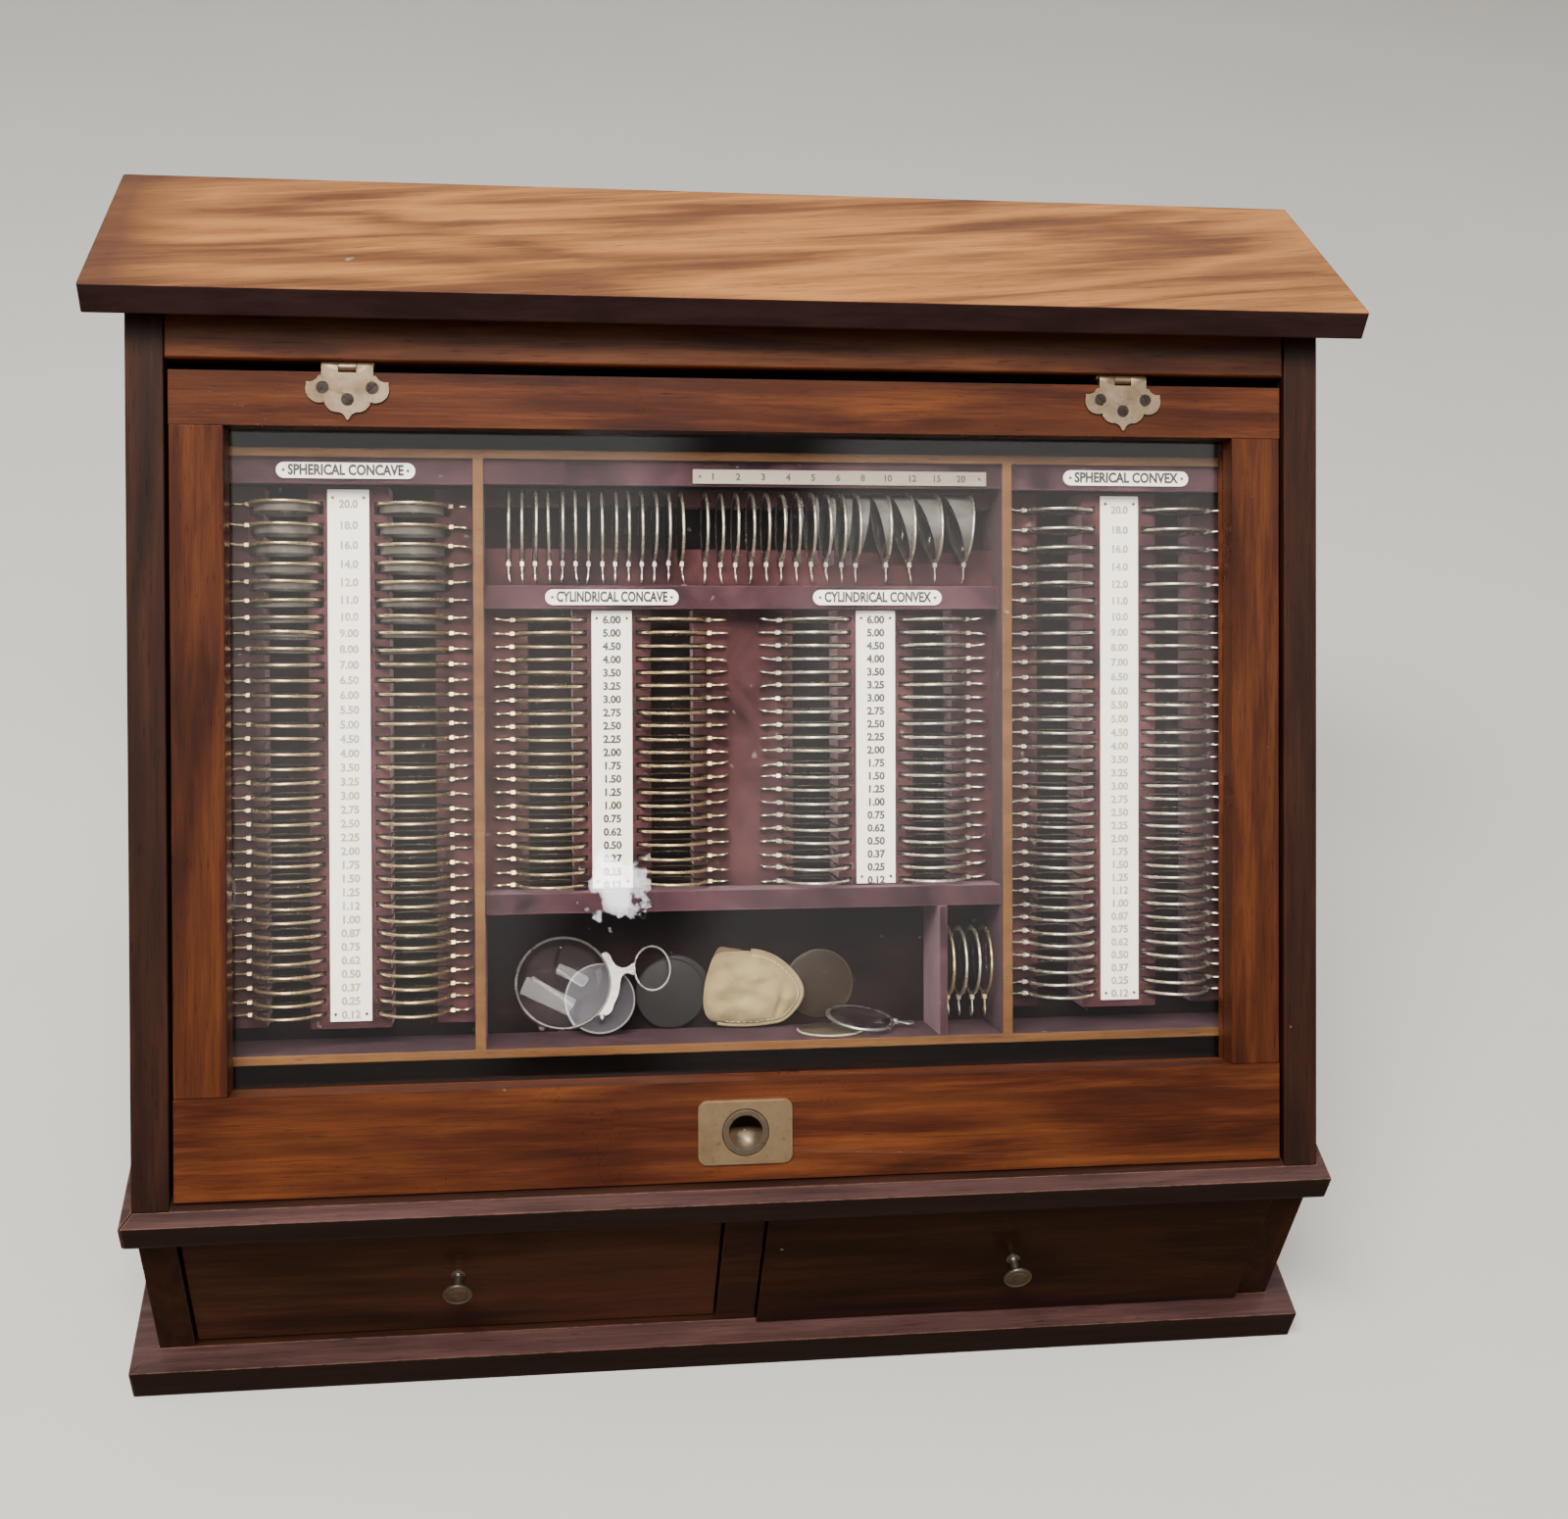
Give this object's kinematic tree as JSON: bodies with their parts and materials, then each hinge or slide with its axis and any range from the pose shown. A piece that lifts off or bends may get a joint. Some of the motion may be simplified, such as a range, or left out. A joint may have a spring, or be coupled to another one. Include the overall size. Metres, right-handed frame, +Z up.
{
  "type": "trial lens set",
  "caption": "Sloping glazed mahogany case of trial lenses racked in velvet beside power scales, with a lift-up door, an accessory compartment and two drawers.",
  "frame": {"origin": "middle of the overall box, on the table", "axes": "+X to the right as seen from the front, +Y towards the back, +Z up"},
  "size_m": [0.61, 0.376, 0.486],
  "materials": {
    "dark_wood": "satin french polish",
    "red_wood": "satin french polish",
    "pale_wood": "bare",
    "velvet": "napped",
    "old_nickel": "dull, worn",
    "steel": "dull",
    "gilt_rim": "polished, worn",
    "silver_rim": "polished, worn",
    "ivory": "satin",
    "glass": "clear",
    "smoked_glass": "dark tinted",
    "chamois": "suede"
  },
  "bodies": {
    "case": {"top_board": "red_wood", "side_left": "dark_wood", "side_right": "dark_wood", "back_panel": "dark_wood", "frieze_rail": "red_wood", "waist_board": "dark_wood", "bottom_board": "dark_wood", "sill_moulding": "dark_wood", "base_moulding": "dark_wood", "drawer_divider": "dark_wood", "drawer_runners": "pale_wood", "tray_bearers": "pale_wood", "keeper_plate": "old_nickel", "hinge_frame_leaves": "old_nickel", "hinge_pins": "steel", "tray_frame": "pale_wood", "tray_floor": "pale_wood", "velvet_panels": "velvet", "rack_left": "velvet", "rack_middle": "velvet", "rack_right": "velvet", "prism_rack": "velvet", "power_strips": "ivory", "label_plates": "ivory", "strip_pins": "gilt_rim", "sphere_minus_rims": "gilt_rim", "sphere_minus_lenses": "glass", "sphere_plus_rims": "silver_rim", "sphere_plus_lenses": "glass", "cylinder_minus_rims": "gilt_rim", "cylinder_minus_lenses": "glass", "cylinder_plus_rims": "silver_rim", "cylinder_plus_lenses": "glass", "accessory_rims": "silver_rim", "filter_discs": "smoked_glass", "prism_wedges": "glass", "cloth_pouch": "chamois", "loose_discs": "smoked_glass"},
    "door": {"door_top_rail": "red_wood", "door_bottom_rail": "red_wood", "door_stile_left": "red_wood", "door_stile_right": "red_wood", "door_glass": "glass", "glazing_beads": "red_wood", "hinge_door_leaves": "old_nickel", "hinge_screws": "steel", "catch_plate": "old_nickel", "catch_spring": "steel"},
    "button": {"catch_button": "old_nickel"},
    "bolt": {"catch_bolt": "old_nickel"},
    "drawer_left": {"drawer_left_front": "dark_wood", "drawer_left_box": "pale_wood", "drawer_left_knob": "old_nickel"},
    "drawer_right": {"drawer_right_front": "dark_wood", "drawer_right_box": "pale_wood", "drawer_right_knob": "old_nickel"},
    "magnifier": {"magnifier_frame": "silver_rim", "magnifier_lens": "glass"},
    "lifted_lens": {"pulled_lens": "silver_rim", "pulled_glass": "glass"}
  },
  "joints": [
    {"name": "door_hinge", "type": "hinge", "parent": "case", "child": "door", "pos_m": [0, 0.06763, 0.44365], "axis": [-1, 0, 0], "range_deg": [0, 125]},
    {"name": "button_press", "type": "slide", "parent": "door", "child": "button", "axis": [0, 0.7997, -0.6004], "range_m": [0, 0.003], "stiffness_N_per_m": 600, "springref_m": -0.001, "deforming": ["catch_spring"]},
    {"name": "bolt_draw", "type": "slide", "parent": "door", "child": "bolt", "axis": [0, 0.6004, 0.7997], "range_m": [0, 0.003]},
    {"name": "left_drawer_slide", "type": "slide", "parent": "case", "child": "drawer_left", "axis": [0, -1, 0], "range_m": [0, 0.2]},
    {"name": "right_drawer_slide", "type": "slide", "parent": "case", "child": "drawer_right", "axis": [0, -1, 0], "range_m": [0, 0.2]},
    {"name": "magnifier_lift", "type": "slide", "parent": "case", "child": "magnifier", "axis": [0, -0.7997, 0.6004], "range_m": [0, 0.02]},
    {"name": "lens_lift", "type": "slide", "parent": "case", "child": "lifted_lens", "axis": [0, -0.7997, 0.6004], "range_m": [0, 0.007]}
  ],
  "couplings": [
    {"joint": "bolt_draw", "follows": "button_press", "ratio": 1}
  ]
}
